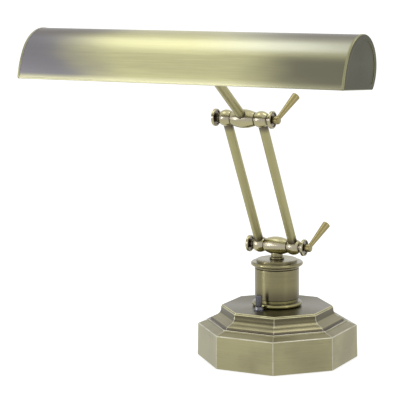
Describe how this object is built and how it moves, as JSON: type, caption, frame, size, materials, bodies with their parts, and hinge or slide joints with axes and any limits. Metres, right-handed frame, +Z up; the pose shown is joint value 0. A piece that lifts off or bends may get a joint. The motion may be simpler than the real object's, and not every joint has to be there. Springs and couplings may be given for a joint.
{
  "type": "piano lamp",
  "caption": "Piano lamp with a long half-round trough shade on a lever-clamped twin-tube arm, a round swivel column and a weighted octagonal base with a rotary switch.",
  "frame": {"origin": "on the table, under the centre of the octagonal base, at the underside of the felt pad", "axes": "+Z up, -Y towards the pianist (the way the arm leans and the shade hangs), +X along the shade towards the clamp levers"},
  "size_m": [0.3556, 0.3134, 0.3683],
  "materials": {
    "base_brass": "satin",
    "column_brass": "satin",
    "cap_brass": "satin",
    "polished_brass": "polished",
    "joint_brass": "polished",
    "lever_brass": "satin",
    "tube_brass": "satin",
    "shade_brass": "satin",
    "end_cap_brass": "satin",
    "switch_metal": "satin",
    "switch_plastic": "matte",
    "plate_steel": "satin",
    "screw_steel": "satin",
    "ballast_iron": "matte",
    "bushing_rubber": "matte",
    "felt": "matte",
    "washer_fibre": "matte",
    "cluster_metal": "satin",
    "holder_plastic": "satin",
    "bulb_metal": "satin",
    "bulb_glass": "gloss"
  },
  "bodies": {
    "base": {"base_shell": "base_brass", "felt_pad": "felt", "cover_plate": "plate_steel", "cover_screws": "screw_steel", "ballast_weight": "ballast_iron", "pipe_washer": "plate_steel", "pipe_nut": "screw_steel", "ballast_spacer": "plate_steel", "lamp_pipe": "screw_steel", "cord_bushing": "bushing_rubber", "column_foot_ring": "polished_brass", "column_tube": "column_brass", "column_cap": "cap_brass", "pipe_coupler": "screw_steel", "swivel_ring": "cap_brass", "switch_body": "switch_plastic", "switch_washer": "switch_metal", "switch_nut": "switch_metal"},
    "swivel": {"swivel_neck": "cap_brass", "swivel_spring_washer": "screw_steel", "swivel_circlip": "screw_steel", "lower_centre_barrel": "joint_brass"},
    "arms": {"lower_barrel_left": "joint_brass", "lower_barrel_right": "joint_brass", "lower_friction_washers": "washer_fibre", "lower_clamp_bolt": "joint_brass", "lower_pressure_disc": "joint_brass", "arm_tube_left": "tube_brass", "arm_tube_right": "tube_brass", "upper_barrel_left": "joint_brass", "upper_barrel_right": "joint_brass", "upper_friction_washers": "washer_fibre", "upper_clamp_bolt": "joint_brass", "upper_pressure_disc": "joint_brass"},
    "head": {"upper_centre_barrel": "joint_brass", "stem_tube": "tube_brass", "stem_collar": "joint_brass", "stem_spacer": "plate_steel", "shade_skin": "shade_brass", "end_cap_left": "end_cap_brass", "end_cap_right": "end_cap_brass", "lamp_cluster": "cluster_metal", "cluster_screw": "screw_steel", "holder_nipples": "screw_steel", "lampholder_left": "holder_plastic", "lampholder_right": "holder_plastic", "bulb_base_left": "bulb_metal", "bulb_base_right": "bulb_metal", "bulb_glass_left": "bulb_glass", "bulb_glass_right": "bulb_glass"},
    "lower_lever_grip": {"lower_lever_hub": "lever_brass", "lower_lever": "lever_brass"},
    "upper_lever_grip": {"upper_lever_hub": "lever_brass", "upper_lever": "lever_brass"},
    "switch_turner": {"switch_shaft": "screw_steel", "switch_knob": "switch_metal"}
  },
  "joints": [
    {"name": "base_swivel", "type": "hinge", "parent": "base", "child": "swivel", "pos_m": [0, 0, 0.1239], "axis": [0, 0, 1], "range_deg": [-165, 165]},
    {"name": "lower_clamp_tilt", "type": "hinge", "parent": "swivel", "child": "arms", "pos_m": [0, 0, 0.1239], "axis": [1, 0, 0], "range_deg": [-55, 45]},
    {"name": "upper_clamp_tilt", "type": "hinge", "parent": "arms", "child": "head", "pos_m": [0, -0.07826, 0.27109], "axis": [1, 0, 0], "range_deg": [-60, 60]},
    {"name": "lower_lever_turn", "type": "hinge", "parent": "arms", "child": "lower_lever_grip", "pos_m": [0.038, 0, 0.1239], "axis": [1, 0, 0], "range_deg": [0, 120]},
    {"name": "upper_lever_turn", "type": "hinge", "parent": "arms", "child": "upper_lever_grip", "pos_m": [0.038, -0.07826, 0.27109], "axis": [1, 0, 0], "range_deg": [0, 120]},
    {"name": "switch_turn", "type": "hinge", "parent": "base", "child": "switch_turner", "pos_m": [-0.0055, -0.034, 0.065], "axis": [0, 0, 1], "continuous": true}
  ]
}
